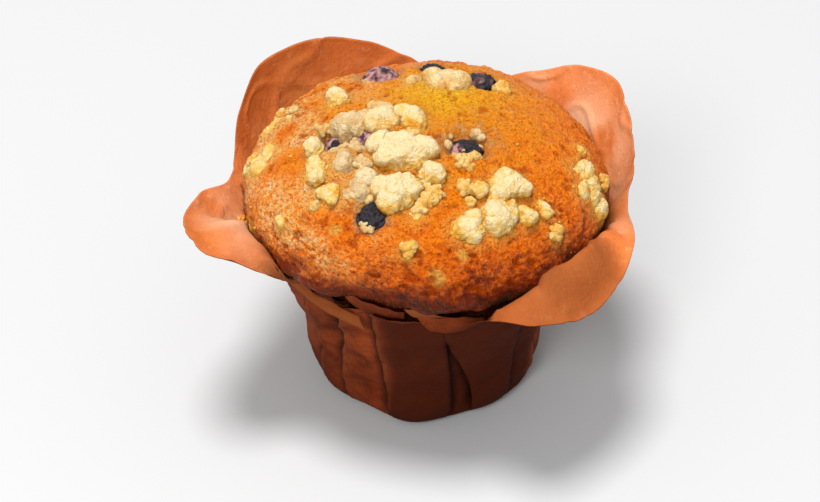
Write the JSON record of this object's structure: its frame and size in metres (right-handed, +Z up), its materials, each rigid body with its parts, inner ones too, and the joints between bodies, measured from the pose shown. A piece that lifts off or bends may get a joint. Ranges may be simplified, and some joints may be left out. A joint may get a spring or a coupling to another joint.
{
  "type": "muffin",
  "caption": "Blueberry crumble muffin, a domed cake with berries and crumble nuggets baked into its crust, in a pleated paper tulip case.",
  "frame": {"origin": "middle of the paper case's flat underside, where it rests on the table", "axes": "+Z up along the cup's axis, -Y towards the muffin's front, +X to its right"},
  "size_m": [0.1012, 0.0933, 0.074],
  "materials": {
    "paper": "matte baking paper, chocolate brown outside, orange brown where it is lit",
    "crust": "baked golden crust, slightly moist and crumbed",
    "berry": "wrinkled baked blueberry skin, satin",
    "crumble": "pale buttery crumble, matt"
  },
  "bodies": {
    "root": {"paper_case": "paper", "muffin_cake": "crust", "blueberry_1": "berry", "blueberry_2": "berry", "blueberry_3": "berry", "blueberry_4": "berry", "blueberry_5": "berry", "blueberry_6": "berry", "blueberry_7": "berry", "blueberry_8": "berry", "blueberry_9": "berry", "crumble_01": "crumble", "crumble_02": "crumble", "crumble_03": "crumble", "crumble_04": "crumble", "crumble_05": "crumble", "crumble_06": "crumble", "crumble_07": "crumble", "crumble_08": "crumble", "crumble_09": "crumble", "crumble_10": "crumble", "crumble_11": "crumble", "crumble_12": "crumble", "crumble_13": "crumble", "crumble_14": "crumble", "crumble_15": "crumble", "crumble_16": "crumble", "crumble_17": "crumble", "crumble_18": "crumble", "crumble_19": "crumble", "crumble_20": "crumble", "crumble_21": "crumble", "crumble_22": "crumble", "crumble_23": "crumble", "crumble_24": "crumble", "crumble_25": "crumble", "crumble_26": "crumble", "crumble_27": "crumble", "crumble_28": "crumble", "crumble_29": "crumble", "crumble_30": "crumble", "crumble_31": "crumble", "crumble_32": "crumble", "crumble_33": "crumble", "crumble_34": "crumble", "crumble_35": "crumble", "crumble_36": "crumble", "crumble_37": "crumble", "crumble_38": "crumble", "crumble_39": "crumble", "crumble_40": "crumble", "crumble_41": "crumble"}
  },
  "joints": []
}
